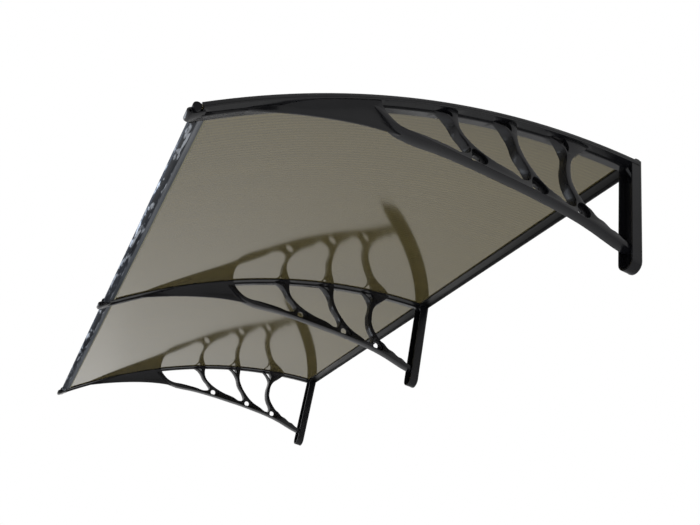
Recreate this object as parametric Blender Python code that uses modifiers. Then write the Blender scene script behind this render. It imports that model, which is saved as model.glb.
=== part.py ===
"""Door canopy: a curved twin-wall sheet in two bays, carried by three moulded wall brackets.

Metres. The wall is the plane y = 0, the canopy reaches forward along -Y, and +Z is up. A point of the
side view is given by its depth (distance from the wall) and its height above the foot of the legs.
"""

import math

import bmesh
import bpy
import numpy
from mathutils import Matrix, Vector
from mathutils.geometry import interpolate_bezier

# Overall sizes
BAY_WIDTH = 0.983
PROJECTION = 1.004
ROOF_RADIUS = 1.730
ROOF_CENTRE_BEHIND_WALL = 0.0734
ROOF_HEIGHT_AT_WALL = 0.300
MOUNT_HEIGHT = 0.150

# Layers of the roof, from the top down
STRIP_THICKNESS = 0.0028
SHEET_THICKNESS = 0.0050
FLANGE_THICKNESS = 0.0030
CLEARANCE = 0.0003

# Widths across the bracket
FLANGE_WIDTH = 0.0460
RIB_WIDTH = 0.0275
WEB_WIDTH = 0.0036
WEB_DEPTH = 0.0042
SHEET_JOINT_GAP = 0.0060

# Lip of an end cover strip, down over the sheet's outer edge
STRIP_LIP_WIDTH = 0.0017

# Leg: a back plate with a channel in front of it, round at the foot, and a head over the strip's rear end
LEG_PLATE_THICKNESS = 0.0055
LEG_PLATE_WIDTH = 0.0460
LEG_TOP_LIP = 0.0045
LEG_HEAD_REACH = 0.0160
LEG_CHANNEL_DEPTH = 0.0270
LEG_CHANNEL_WIDTH = 0.0450
LEG_WALL = 0.0040
LEG_CORNER_RADIUS = 0.0030
BOLT_RADIUS = 0.0055
UPPER_BOLT_HEIGHT = 0.232
LOWER_BOLT_HEIGHT = 0.024
GUSSET_THICKNESS = 0.0030
GUSSET_DROP = 0.0240
GUSSET_WIDTH = 0.0080

# Junction of the chord with the roof, as a depth
JUNCTION_DEPTH = 0.690

# Chord: its lower edge is one Bezier stretch from the leg to the junction. Its rear end is given by depth
# and height, its front end and rise by distance behind the junction and drop below the flange.
CHORD_REAR = (0.025, 0.050)
CHORD_REAR_HANDLE = (0.150, 0.094)
CHORD_FRONT_HANDLE = (0.277, 0.1259)
CHORD_FRONT = (0.077, 0.0691)
CHORD_RISE = ((0.053, 0.0505), (0.041, 0.0400))
CHORD_THICKNESS = 0.0120

# Spandrel: the solid web in front of the junction, thin below and flared above. Its rear knots are given
# by distance behind the junction, its front handle by distance behind the front end, all with their drop.
SPANDREL_REAR = (0.084, 0.0737)
SPANDREL_REAR_HANDLE = (0.005, 0.0438)
SPANDREL_FRONT_HANDLE = (0.194, 0.0197)
SPANDREL_FRONT_SETBACK = 0.093
SPANDREL_EDGE_WIDTH = 0.0050
SPANDREL_FLARE_WIDTH = 0.0400
SPANDREL_FLARE_START_SETBACK = 0.124
SPANDREL_FLARE_LENGTH = 0.090
SPANDREL_FLARE_POWER = 2.2
SPANDREL_SECTIONS = 14
SPANDREL_LEVELS = 5

# Front window: its front tip behind the junction, and a knot of the edge that rises to it, with its drop
FRONT_WINDOW_TIP = 0.023
FRONT_WINDOW_RISE = (0.045, 0.0290)

# Through holes at the roots of the ribs, each in a recess on both sides that leaves a thin web
HOLE_RADIUS = 0.0100
RECESS_WEB = 0.0050
RECESS_RIM = 0.0040
RECESS_REAR = 0.0060
NOSE_HOLE_RADIUS = 0.0022

# Thin front branch of each rib's fork, which narrows towards its tip
BRANCH_THICKNESS = 0.0040
BRANCH_TIP_WIDTH = 0.0050

# Front end of the bracket, beyond the sheet
SHEET_FRONT_SETBACK = 0.0155
NOSE_RADIUS = 0.0070
NOSE_REACH = 0.0024
NOSE_DROP = 0.0005
NOSE_LENGTH = 0.0340
PLUG_RADIUS = 0.0085
PLUG_SETBACK = 0.0090
PLUG_RISE = 0.0032

# Rails and seals
RAIL_LIP = 0.0015
FRONT_RAIL_GRIP = 0.0105
FRONT_RAIL_SETBACK = 0.0040
BULLNOSE_HALF_HEIGHT = 0.0070
BULLNOSE_POWER = 0.5
GROOVE_WIDTH = 0.0013
GROOVE_DEPTH = 0.0016
GASKET_WIDTH = 0.0036
GASKET_THICKNESS = 0.0012
REAR_RAIL_REACH = 0.0340
REAR_RAIL_BEAD_WIDTH = 0.0045
REAR_RAIL_BEAD_DEPTH = 0.0022
SEAL_THICKNESS = 0.0022
SEAL_OVERHANG = 0.0030

# Screws through the cover strips
SCREWS_PER_STRIP = 5
SCREW_FIRST_DEPTH = 0.050
SCREW_LAST_SETBACK = 0.040
SCREW_HEAD_RADIUS = 0.0045
SCREW_HEAD_HEIGHT = 0.0022
SCREW_SHANK_RADIUS = 0.0020
SCREW_BITE = 0.0022
SCREW_HEAD_CROWN = ((0.60, 0.90), (0.92, 0.50))

# How finely curves are divided
ROOF_STEPS = 36
CURVE_RESOLUTION = 4
ROUND_SEGMENTS = 20
BEZIER_STEPS = 40
CHORD_KNOTS = 6
WINDOW_KNOTS = 4
SMOOTH_ANGLE = math.radians(30)

# How far joined shapes reach into each other before they are united
WEB_BITE = 0.0010
PLATE_BITE = FLANGE_THICKNESS / 2
OPENING_BITE = FLANGE_THICKNESS / 4
LEG_BITE = LEG_PLATE_THICKNESS / 2
CUT_OVERRUN = 0.0010
WELD_DISTANCE = 0.00001

# Worked out from the sizes above
ROOF_CENTRE_HEIGHT = ROOF_HEIGHT_AT_WALL - math.sqrt(ROOF_RADIUS ** 2 - ROOF_CENTRE_BEHIND_WALL ** 2)
SHEET_TOP = ROOF_RADIUS - STRIP_THICKNESS - CLEARANCE
SHEET_UNDER = SHEET_TOP - SHEET_THICKNESS
FLANGE_TOP = SHEET_UNDER - CLEARANCE
FLANGE_UNDER = FLANGE_TOP - FLANGE_THICKNESS
ROOF_REAR_DEPTH = LEG_PLATE_THICKNESS + CLEARANCE
SHEET_FRONT_DEPTH = PROJECTION - SHEET_FRONT_SETBACK
LEG_HEIGHT = ROOF_HEIGHT_AT_WALL + LEG_TOP_LIP
LEG_HALF_WIDTH = LEG_PLATE_WIDTH / 2
SPANDREL_FRONT_DEPTH = PROJECTION - SPANDREL_FRONT_SETBACK
SPANDREL_FLARE_START = PROJECTION - SPANDREL_FLARE_START_SETBACK
PLUG_THICKNESS = (FLANGE_WIDTH - RIB_WIDTH) / 2 - CLEARANCE
BRACKETS = {"right": BAY_WIDTH, "middle": 0.0, "left": -BAY_WIDTH}
BAYS = {"right": ("middle", "right"), "left": ("left", "middle")}

# Side view: depth and height are the curve's own X and Y. Front view: width and height are.
SIDE_VIEW = Matrix(((0, 0, -1, 0), (-1, 0, 0, 0), (0, 1, 0, -MOUNT_HEIGHT), (0, 0, 0, 1)))
FRONT_VIEW = Matrix(((1, 0, 0, 0), (0, 0, -1, 0), (0, 1, 0, -MOUNT_HEIGHT), (0, 0, 0, 1)))


class Rib:
    """One forked rib: a thick branch from the flange down into the chord, and a thin front branch."""

    def __init__(self, foot, upper, lower, thickness, flare, tip, tip_drop, split, neck, hole, recess,
                 crotch):
        self.foot = foot            # depth of the thick branch's rear corner at the flange
        self.upper = upper          # rear edge below it: depth and drop below the flange
        self.lower = lower          # rear edge further down: depth and rise above the chord's lower edge
        self.thickness = thickness
        self.flare = flare          # length of the thick branch's foot along the flange
        self.tip = tip              # depth of the thin branch's tip at the flange
        self.tip_drop = tip_drop    # thin branch's lower edge halfway: back from the tip, and drop
        self.split = split          # bottom of the fork: depth and drop
        self.neck = neck            # thick branch's front edge inside the fork: depth and drop
        self.hole = hole            # through hole: depth and rise
        self.recess = recess        # upper edge of the recess around the hole: depth and rise
        self.crotch = crotch        # rounded corner in front of the hole: depth and rise, twice


RIBS = (
    Rib(foot=0.492, upper=((0.4885, 0.0270), (0.4775, 0.0510)),
        lower=((0.4570, 0.0470), (0.4330, 0.0355), (0.3900, 0.0240), (0.3450, 0.0195)),
        thickness=0.0090, flare=0.028, tip=0.547, tip_drop=(0.026, 0.0110), split=(0.5035, 0.0185),
        neck=(0.5060, 0.0085), hole=(0.430, 0.0160),
        recess=((0.4460, 0.0300), (0.4300, 0.0305), (0.4120, 0.0240)),
        crotch=((0.4500, 0.0235), (0.4600, 0.0125))),
    Rib(foot=0.345, upper=((0.3425, 0.0200), (0.3380, 0.0460), (0.3260, 0.0720)),
        lower=((0.2950, 0.0510), (0.2590, 0.0280), (0.2190, 0.0170)),
        thickness=0.0115, flare=0.023, tip=0.404, tip_drop=(0.026, 0.0125), split=(0.3570, 0.0250),
        neck=(0.3585, 0.0120), hole=(0.277, 0.0160),
        recess=((0.2900, 0.0340), (0.2740, 0.0320), (0.2560, 0.0225)),
        crotch=((0.2975, 0.0270), (0.3080, 0.0140))),
    Rib(foot=0.146, upper=((0.1665, 0.0230), (0.1829, 0.0378), (0.1940, 0.0583), (0.1950, 0.0850)),
        lower=((0.1890, 0.0740), (0.1560, 0.0390), (0.1460, 0.0335), (0.1365, 0.0315), (0.1170, 0.0215),
               (0.0990, 0.0205), (0.0790, 0.0145), (0.0640, 0.0160), (0.0460, 0.0115), (0.0320, 0.0130)),
        thickness=0.0130, flare=0.070, tip=0.252, tip_drop=(0.026, 0.0170), split=(0.2040, 0.0370),
        neck=(0.2040, 0.0170), hole=(0.160, 0.0165),
        recess=((0.1690, 0.0290), (0.1560, 0.0340), (0.1420, 0.0275)),
        crotch=((0.1755, 0.0200), (0.1850, 0.0110))),
)


def clear_scene():
    """Remove every object, so that the model starts from nothing."""
    for thing in list(bpy.data.objects):
        bpy.data.objects.remove(thing, do_unlink=True)


def make_collection(name):
    """Make a collection and link it to the scene."""
    collection = bpy.data.collections.new(name)
    bpy.context.scene.collection.children.link(collection)
    return collection


def make_material(name, colour, roughness, metallic=0.0, alpha=1.0):
    """Make a Principled material from a colour, a roughness and a metallic value."""
    material = bpy.data.materials.new(name)
    material.use_nodes = True
    shader = material.node_tree.nodes["Principled BSDF"]
    shader.inputs["Base Color"].default_value = (*colour, 1.0)
    shader.inputs["Roughness"].default_value = roughness
    shader.inputs["Metallic"].default_value = metallic
    shader.inputs["Alpha"].default_value = alpha
    return material


def height_on(radius, depth):
    """Height at a depth on the circle of the given radius about the roof's centre."""
    return ROOF_CENTRE_HEIGHT + math.sqrt(radius ** 2 - (depth + ROOF_CENTRE_BEHIND_WALL) ** 2)


def angle_at(depth, radius=SHEET_UNDER):
    """Angle from the vertical of the radius that meets the sheet's underside at a depth."""
    return math.asin((depth + ROOF_CENTRE_BEHIND_WALL) / radius)


def polar(radius, angle):
    """Depth and height of a point at a radius and angle about the roof's centre."""
    return (radius * math.sin(angle) - ROOF_CENTRE_BEHIND_WALL, ROOF_CENTRE_HEIGHT + radius * math.cos(angle))


def roof_point(radius, depth, along=0.0):
    """Point at a radius, on the line square to the roof's top at a depth, moved forward along the roof."""
    return polar(radius, angle_at(depth) + along / radius)


def roof_run(radius, start, end, steps=ROOF_STEPS):
    """Points along the roof at a radius, between the lines square to its top at two depths."""
    return [polar(radius, angle) for angle in numpy.linspace(angle_at(start), angle_at(end), steps + 1)]


def bezier_height(knots, depth):
    """Height at a depth on one Bezier stretch given by its two ends and two handles."""
    rear, rear_handle, front_handle, front = (Vector((*knot, 0.0)) for knot in knots)
    points = interpolate_bezier(rear, rear_handle, front_handle, front, BEZIER_STEPS)
    return float(numpy.interp(depth, [point.x for point in points], [point.y for point in points]))


def under(depth, drop):
    """Point a drop below the flange's underside."""
    return (depth, height_on(FLANGE_UNDER, depth) - drop)


def behind(depth, knot):
    """Point given by its distance behind a depth and its drop below the flange's underside."""
    return under(depth - knot[0], knot[1])


def chord_height(depth):
    """Height of the chord's lower edge at a depth."""
    front_handle = behind(JUNCTION_DEPTH, CHORD_FRONT_HANDLE)
    front = behind(JUNCTION_DEPTH, CHORD_FRONT)
    return bezier_height((CHORD_REAR, CHORD_REAR_HANDLE, front_handle, front), depth)


def over(depth, rise):
    """Point a rise above the chord's lower edge."""
    return (depth, chord_height(depth) + rise)


def sharp(points):
    """Mark points as corners of an outline."""
    return [(depth, height, False) for depth, height in points]


def smooth(points):
    """Mark points as smooth knots of an outline."""
    return [(depth, height, True) for depth, height in points]


def circle(centre, radius, segments=ROUND_SEGMENTS):
    """Corners of a round outline."""
    turns = numpy.linspace(0.0, 2 * math.pi, segments, endpoint=False)
    return sharp([(centre[0] + radius * math.cos(turn), centre[1] + radius * math.sin(turn))
                  for turn in turns])


def mesh_object(name, mesh, collection):
    """Make an object for a mesh in a collection."""
    thing = bpy.data.objects.new(name, mesh)
    collection.objects.link(thing)
    return thing


def weld(mesh):
    """Join the corners of a mesh that lie at one place, and turn its faces outwards."""
    shape = bmesh.new()
    shape.from_mesh(mesh)
    bmesh.ops.remove_doubles(shape, verts=shape.verts, dist=WELD_DISTANCE)
    bmesh.ops.recalc_face_normals(shape, faces=shape.faces)
    shape.to_mesh(mesh)
    shape.free()


def extruded(name, outlines, width, view, collection, centre=0.0):
    """Extrude closed outlines, the inner ones as holes, to both sides of a view's plane."""
    curve = bpy.data.curves.new(name, "CURVE")
    curve.dimensions = "2D"
    curve.fill_mode = "BOTH"
    curve.extrude = width / 2
    curve.resolution_u = CURVE_RESOLUTION
    for outline in outlines:
        spline = curve.splines.new("BEZIER")
        spline.bezier_points.add(len(outline) - 1)
        spline.use_cyclic_u = True
        for knot, (across, up, is_smooth) in zip(spline.bezier_points, outline):
            knot.co = (across, up, 0.0)
            knot.handle_left_type = "AUTO" if is_smooth else "VECTOR"
            knot.handle_right_type = knot.handle_left_type
    guide = bpy.data.objects.new(name, curve)
    collection.objects.link(guide)
    guide.matrix_world = Matrix.Translation(view.to_3x3() @ Vector((0.0, 0.0, centre))) @ view
    bpy.context.view_layer.update()
    evaluated = guide.evaluated_get(bpy.context.evaluated_depsgraph_get())
    mesh = bpy.data.meshes.new_from_object(evaluated)
    weld(mesh)
    solid = mesh_object(name, mesh, collection)
    solid.matrix_world = guide.matrix_world.copy()
    bpy.data.objects.remove(guide, do_unlink=True)
    solid.name = name
    return solid


def apply_modifiers(thing):
    """Replace an object's mesh by the evaluated one and drop its modifiers."""
    bpy.context.view_layer.update()
    evaluated = thing.evaluated_get(bpy.context.evaluated_depsgraph_get())
    mesh = bpy.data.meshes.new_from_object(evaluated)
    thing.modifiers.clear()
    thing.data = mesh


def combine(thing, others, operation):
    """Unite an object with others, or cut them from it, and remove them."""
    for other in others:
        other.hide_render = True
        other.display_type = "WIRE"
        modifier = thing.modifiers.new(operation.title(), "BOOLEAN")
        modifier.operation = operation
        modifier.object = other
        modifier.solver = "EXACT"
    apply_modifiers(thing)
    for other in others:
        bpy.data.objects.remove(other, do_unlink=True)


def place_mesh(thing):
    """Move an object's place into its mesh, so that the mesh can be shared by copies along X."""
    thing.data.transform(thing.matrix_world)
    thing.matrix_world = Matrix.Identity(4)


def shifted(points, distance):
    """Points moved square to their run, to the left of its direction."""
    moved = []
    for index, point in enumerate(points):
        before = Vector(points[max(index - 1, 0)])
        after = Vector(points[min(index + 1, len(points) - 1)])
        along = (after - before).normalized()
        moved.append((point[0] - along.y * distance, point[1] + along.x * distance))
    return moved


def rear_edge(rib):
    """Rear edge of a rib's thick branch, from just below the flange down to the chord."""
    return [under(*knot) for knot in rib.upper] + [over(*knot) for knot in rib.lower]


def front_edge(rib):
    """Front edge of a rib: the thin branch's lower edge, then the rear edge moved by the thickness."""
    branch_middle = under(rib.tip - rib.tip_drop[0], rib.tip_drop[1])
    joint = under(rib.split[0] + BRANCH_THICKNESS, rib.split[1] + BRANCH_THICKNESS)
    crotch = over(*rib.crotch[0])
    stem = [point for point in shifted(rear_edge(rib), rib.thickness)
            if point[0] > crotch[0] and crotch[1] < point[1] < joint[1] - 2 * BRANCH_THICKNESS]
    return [branch_middle, joint] + stem


def flange_run(start, end):
    """Corners along the top of a window, a little way inside the flange."""
    steps = max(1, round(abs(end - start) * ROOF_STEPS / PROJECTION))
    return sharp([(depth, height_on(FLANGE_UNDER, depth) + OPENING_BITE)
                  for depth in numpy.linspace(start, end, steps + 1)])


def window_behind(rib, next_rib):
    """Outline of the window between a rib's rear edge and the front edge of the rib behind it."""
    crotch = [over(*knot) for knot in next_rib.crotch]
    outline = flange_run(rib.foot, next_rib.tip)
    outline += smooth(front_edge(next_rib) + crotch)
    outline += smooth(reversed(rear_edge(rib)))
    return outline


def front_window():
    """Outline of the long window in front of the first rib."""
    first = RIBS[0]
    depths = numpy.linspace(first.crotch[1][0], JUNCTION_DEPTH - CHORD_FRONT[0], WINDOW_KNOTS)[1:]
    outline = flange_run(JUNCTION_DEPTH - FRONT_WINDOW_TIP, first.tip)
    outline += smooth(front_edge(first) + [over(*knot) for knot in first.crotch])
    outline += smooth([over(depth, CHORD_THICKNESS) for depth in depths])
    outline += smooth([behind(JUNCTION_DEPTH, FRONT_WINDOW_RISE)])
    return outline


def rear_window():
    """Outline of the window between the last rib and the leg's back plate."""
    last = RIBS[-1]
    wall = LEG_PLATE_THICKNESS - WEB_BITE
    outline = flange_run(last.foot, wall)
    outline += sharp([(wall, chord_height(CHORD_REAR[0]) + last.lower[-1][1])])
    outline += smooth(reversed(rear_edge(last)))
    return outline


def fork_window(rib):
    """Outline of the small window between a rib's two branches."""
    branch_middle = under(rib.tip - rib.tip_drop[0], rib.tip_drop[1])
    thin_edge = shifted([under(rib.tip, 0.0), branch_middle, under(*rib.split)], -BRANCH_THICKNESS)
    outline = flange_run(rib.tip - 2 * BRANCH_THICKNESS, rib.foot + rib.flare)
    outline += smooth([under(*rib.neck)]) + sharp([under(*rib.split)]) + smooth([thin_edge[1]])
    return outline


def recess(rib):
    """Outline of the recess around a rib's hole, inside the edges of the moulding."""
    front, rear = rib.recess[0][0], rib.recess[-1][0]
    outline = smooth([over(*knot) for knot in rib.recess] + [over(rear - RECESS_REAR, rib.hole[1])])
    outline += smooth([over(depth, RECESS_RIM) for depth in (rear, rib.hole[0], front)])
    outline += smooth([over(rib.crotch[0][0] - RECESS_RIM, rib.crotch[0][1] / 2)])
    return outline


def recess_cutters(cutters):
    """Cutters for the recesses on the two sides of the bracket's plate."""
    depth = (RIB_WIDTH - RECESS_WEB) / 2 + CUT_OVERRUN
    return [extruded("recesses", [recess(rib) for rib in RIBS], depth, SIDE_VIEW, cutters,
                     side * (RECESS_WEB + depth) / 2) for side in (1, -1)]


def branch_cutter(rib, cutters):
    """Two wedges that narrow a rib's thin branch from both sides, from the fork to its tip."""
    start = rib.split[0] + 2 * BRANCH_THICKNESS
    window_corner = rib.foot + rib.flare
    share = (window_corner - start) / (window_corner - rib.split[0])
    outline = [under(start, rib.split[1] * share), under(window_corner, -2 * PLATE_BITE),
               under(rib.tip + BRANCH_THICKNESS, -2 * PLATE_BITE), under(rib.tip + BRANCH_THICKNESS, 0.0),
               under(rib.tip - rib.tip_drop[0] + BRANCH_THICKNESS, rib.tip_drop[1] + BRANCH_THICKNESS),
               under(start, rib.split[1] + 2 * BRANCH_THICKNESS)]
    widths = (RIB_WIDTH + CUT_OVERRUN, BRANCH_TIP_WIDTH)
    shape = bmesh.new()
    for side in (1, -1):
        inner = []
        outer = []
        for depth, height in outline:
            width = float(numpy.interp(depth, (start, rib.tip), widths))
            inner.append(shape.verts.new((side * width / 2, -depth, height - MOUNT_HEIGHT)))
            outer.append(shape.verts.new((side * FLANGE_WIDTH / 2, -depth, height - MOUNT_HEIGHT)))
        for index in range(len(outline)):
            shape.faces.new((inner[index - 1], inner[index], outer[index], outer[index - 1]))
        shape.faces.new(inner[::-1])
        shape.faces.new(outer)
    bmesh.ops.recalc_face_normals(shape, faces=shape.faces)
    mesh = bpy.data.meshes.new("branch_wedges")
    shape.to_mesh(mesh)
    shape.free()
    return mesh_object("branch_wedges", mesh, cutters)


def bracket_outline():
    """Outer outline of the bracket's plate: chord, junction, and the run inside the flange."""
    inside = LEG_PLATE_THICKNESS - LEG_BITE
    depths = numpy.linspace(CHORD_REAR[0], JUNCTION_DEPTH - CHORD_FRONT[0], CHORD_KNOTS)
    outline = sharp([(inside, CHORD_REAR[1] - WEB_BITE)])
    outline += smooth([(depth, chord_height(depth)) for depth in depths])
    outline += smooth([behind(JUNCTION_DEPTH, knot) for knot in CHORD_RISE])
    top = numpy.linspace(JUNCTION_DEPTH, inside, ROOF_STEPS)
    outline += sharp([(depth, height_on(FLANGE_UNDER, depth) + PLATE_BITE) for depth in top])
    return outline


def spandrel_edge(depth):
    """Height of the spandrel's lower edge at a depth."""
    rear = behind(JUNCTION_DEPTH, SPANDREL_REAR)
    rear_handle = behind(JUNCTION_DEPTH, SPANDREL_REAR_HANDLE)
    front_handle = behind(PROJECTION, SPANDREL_FRONT_HANDLE)
    front = under(SPANDREL_FRONT_DEPTH, WEB_DEPTH)
    return bezier_height((rear, rear_handle, front_handle, front), depth)


def spandrel(collection):
    """Loft the spandrel: each section is thin at its lower edge and flares towards the flange."""
    shape = bmesh.new()
    rows = []
    rear = JUNCTION_DEPTH - SPANDREL_REAR[0]
    for depth in numpy.linspace(rear, SPANDREL_FRONT_DEPTH, SPANDREL_SECTIONS):
        low = spandrel_edge(depth)
        high = height_on(FLANGE_UNDER, depth) + PLATE_BITE
        opening = numpy.clip((SPANDREL_FLARE_START - depth) / SPANDREL_FLARE_LENGTH, 0, 1)
        eased = opening ** 2 * (3 - 2 * opening)
        flare = (SPANDREL_FLARE_WIDTH - SPANDREL_EDGE_WIDTH) * eased
        levels = numpy.linspace(0.0, 1.0, SPANDREL_LEVELS)
        widths = [SPANDREL_EDGE_WIDTH + flare * level ** SPANDREL_FLARE_POWER for level in levels]
        heights = [low + (high - low) * level - MOUNT_HEIGHT for level in levels]
        right = [(width / 2, -depth, height) for width, height in zip(widths, heights)]
        left = [(-width / 2, -depth, height) for width, height in zip(widths, heights)]
        rows.append([shape.verts.new(point) for point in right + left[::-1]])
    for row, next_row in zip(rows, rows[1:]):
        for index in range(len(row)):
            after = (index + 1) % len(row)
            shape.faces.new((row[index], row[after], next_row[after], next_row[index]))
    shape.faces.new(rows[0][::-1])
    shape.faces.new(rows[-1])
    bmesh.ops.recalc_face_normals(shape, faces=shape.faces)
    mesh = bpy.data.meshes.new("spandrel")
    shape.to_mesh(mesh)
    shape.free()
    return mesh_object("spandrel", mesh, collection)


def roof_layer(name, outer, inner, start, end, width, collection, centre=0.0):
    """A curved slab between two radii and two depths."""
    outline = sharp(roof_run(outer, start, end) + roof_run(inner, end, start))
    return extruded(name, [outline], width, SIDE_VIEW, collection, centre)


def leg_outline(half_width, top, round_centre):
    """Front view of the leg: a bar with a half-round foot."""
    turns = numpy.linspace(math.pi, 2 * math.pi, ROUND_SEGMENTS // 2 + 1)
    foot = [(half_width * math.cos(turn), round_centre + half_width * math.sin(turn)) for turn in turns]
    corner = min(LEG_CORNER_RADIUS, half_width)
    head = [(half_width, top - corner), (half_width - corner, top), (corner - half_width, top),
            (-half_width, top - corner)]
    return sharp(foot + head)


def leg(collection):
    """The leg's back plate, its channel, its gusset and its head."""
    plate = extruded("leg_plate", [leg_outline(LEG_HALF_WIDTH, LEG_HEIGHT, LEG_HALF_WIDTH),
                                   circle((0.0, UPPER_BOLT_HEIGHT), BOLT_RADIUS),
                                   circle((0.0, LOWER_BOLT_HEIGHT), BOLT_RADIUS)],
                     LEG_PLATE_THICKNESS, FRONT_VIEW, collection, LEG_PLATE_THICKNESS / 2)
    top = height_on(FLANGE_UNDER, LEG_CHANNEL_DEPTH) + PLATE_BITE
    rear = LEG_PLATE_THICKNESS - WEB_BITE
    outer = leg_outline(LEG_CHANNEL_WIDTH / 2, top, LEG_HALF_WIDTH)
    inner = leg_outline(LEG_CHANNEL_WIDTH / 2 - LEG_WALL, top - LEG_WALL, LEG_HALF_WIDTH)
    channel = extruded("leg_channel", [outer, inner], LEG_CHANNEL_DEPTH - rear, FRONT_VIEW, collection,
                       (LEG_CHANNEL_DEPTH + rear) / 2)
    head = roof_layer("leg_head", ROOF_RADIUS + LEG_TOP_LIP, ROOF_RADIUS + CLEARANCE, rear,
                      LEG_HEAD_REACH, LEG_CHANNEL_WIDTH, collection)
    low = under(rear, GUSSET_DROP)
    high = under(LEG_CHANNEL_DEPTH - LEG_WALL, -WEB_BITE)
    slope = shifted([low, high], -GUSSET_THICKNESS)
    gusset = extruded("leg_gusset", [sharp([low, high, slope[1], slope[0]])], GUSSET_WIDTH,
                      SIDE_VIEW, collection)
    return [plate, channel, gusset, head]


def nose_centre():
    """Centre of the bracket's rounded nose."""
    return roof_point(ROOF_RADIUS - NOSE_DROP - NOSE_RADIUS, PROJECTION, NOSE_REACH)


def nose(collection):
    """The block at the bracket's front end, which closes the sheet's front edge and ends in a half round."""
    centre = nose_centre()
    slope = angle_at(PROJECTION, ROOF_RADIUS)
    turns = numpy.linspace(math.pi / 2, -math.pi / 2, ROUND_SEGMENTS // 2 + 1) - slope
    tip = [(centre[0] + NOSE_RADIUS * math.cos(turn), centre[1] + NOSE_RADIUS * math.sin(turn))
           for turn in turns]
    rear = SHEET_FRONT_DEPTH + CLEARANCE
    top = ROOF_RADIUS - NOSE_DROP
    bottom = top - 2 * NOSE_RADIUS
    outline = [roof_point(FLANGE_UNDER + PLATE_BITE, rear), roof_point(top, rear)] + tip
    outline += [roof_point(bottom, PROJECTION, NOSE_REACH - NOSE_LENGTH + NOSE_RADIUS),
                roof_point(FLANGE_UNDER + PLATE_BITE, PROJECTION, NOSE_REACH - NOSE_LENGTH + NOSE_RADIUS)]
    hole = circle(centre, NOSE_HOLE_RADIUS, ROUND_SEGMENTS // 2)
    return extruded("nose", [sharp(outline), hole], RIB_WIDTH, SIDE_VIEW, collection)


def screw_angles():
    """Angles about the roof's centre at which the strip screws stand."""
    last = PROJECTION - SCREW_LAST_SETBACK
    return numpy.linspace(angle_at(SCREW_FIRST_DEPTH), angle_at(last), SCREWS_PER_STRIP)


def screw_holes(collection, centre=0.0):
    """Cutter for all the screw holes along one bracket, blind in the flange."""
    low = FLANGE_TOP - SCREW_BITE - CLEARANCE
    high = ROOF_RADIUS + STRIP_THICKNESS
    shape = bmesh.new()
    for angle in screw_angles():
        depth, height = polar((low + high) / 2, angle)
        place = Matrix.Translation((centre, -depth, height - MOUNT_HEIGHT))
        radius = SCREW_SHANK_RADIUS + CLEARANCE
        bmesh.ops.create_cone(shape, cap_ends=True, segments=ROUND_SEGMENTS // 2, depth=high - low,
                              matrix=place @ Matrix.Rotation(angle, 4, "X"), radius1=radius, radius2=radius)
    mesh = bpy.data.meshes.new("screw_holes")
    shape.to_mesh(mesh)
    shape.free()
    cutter = mesh_object("screw_holes", mesh, collection)
    return cutter


def bracket_mesh(parts, cutters):
    """One bracket, centred on x = 0."""
    holes = [circle(over(*rib.hole), HOLE_RADIUS) for rib in RIBS]
    windows = [front_window(), window_behind(RIBS[0], RIBS[1]), window_behind(RIBS[1], RIBS[2]),
               rear_window()]
    forks = [fork_window(rib) for rib in RIBS]
    plate = extruded("bracket", [bracket_outline()] + windows[1:] + forks + holes, RIB_WIDTH, SIDE_VIEW, parts)
    combine(plate, [spandrel(parts)], "UNION")
    opening = extruded("front_opening", windows[:1], FLANGE_WIDTH, SIDE_VIEW, cutters)
    wedges = [branch_cutter(rib, cutters) for rib in RIBS]
    combine(plate, [opening] + recess_cutters(cutters) + wedges, "DIFFERENCE")
    rear = LEG_PLATE_THICKNESS - LEG_BITE
    flange = roof_layer("flange", FLANGE_TOP, FLANGE_UNDER, rear, SHEET_FRONT_DEPTH, FLANGE_WIDTH, parts)
    web = roof_layer("web", FLANGE_UNDER + WEB_BITE, FLANGE_UNDER - WEB_DEPTH, rear + WEB_BITE,
                     SHEET_FRONT_DEPTH, WEB_WIDTH, parts)
    combine(plate, [flange, web, nose(parts)] + leg(parts), "UNION")
    combine(plate, [screw_holes(cutters)], "DIFFERENCE")
    place_mesh(plate)
    mesh = plate.data
    bpy.data.objects.remove(plate, do_unlink=True)
    weld(mesh)
    return mesh


def make_brackets(parts, cutters, material):
    """The three brackets, which are all alike."""
    mesh = bracket_mesh(parts, cutters)
    mesh.materials.clear()
    mesh.materials.append(material)
    for side, centre in BRACKETS.items():
        thing = mesh_object("bracket_" + side, mesh, parts)
        thing.location.x = centre


def sheet_span(bay):
    """The two ends in X of a bay's sheet: inside the end strip's lip, and short of the middle line."""
    low, high = (BRACKETS[side] for side in BAYS[bay])
    outer_inset = FLANGE_WIDTH / 2 - STRIP_LIP_WIDTH - CLEARANCE
    if bay == "right":
        return low + SHEET_JOINT_GAP / 2, high + outer_inset
    return low - outer_inset, high - SHEET_JOINT_GAP / 2


def make_sheets(parts, cutters, material):
    """One curved sheet in each bay, drilled where the end bracket's screws pass."""
    for bay in BAYS:
        low, high = sheet_span(bay)
        sheet = roof_layer("sheet_" + bay, SHEET_TOP, SHEET_UNDER, ROOF_REAR_DEPTH, SHEET_FRONT_DEPTH,
                           high - low, parts, -(low + high) / 2)
        combine(sheet, [screw_holes(cutters, BRACKETS[bay])], "DIFFERENCE")
        sheet.data.materials.append(material)


def sheet_slot(centre, cutters):
    """Cutter for the room that a sheet takes under an end strip, up to the lip over the sheet's edge."""
    inward = centre - math.copysign(STRIP_LIP_WIDTH, centre)
    return roof_layer("sheet_slot", ROOF_RADIUS - STRIP_THICKNESS, FLANGE_TOP, ROOF_REAR_DEPTH - CUT_OVERRUN,
                      SHEET_FRONT_DEPTH + CUT_OVERRUN, FLANGE_WIDTH, cutters, -inward)


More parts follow.
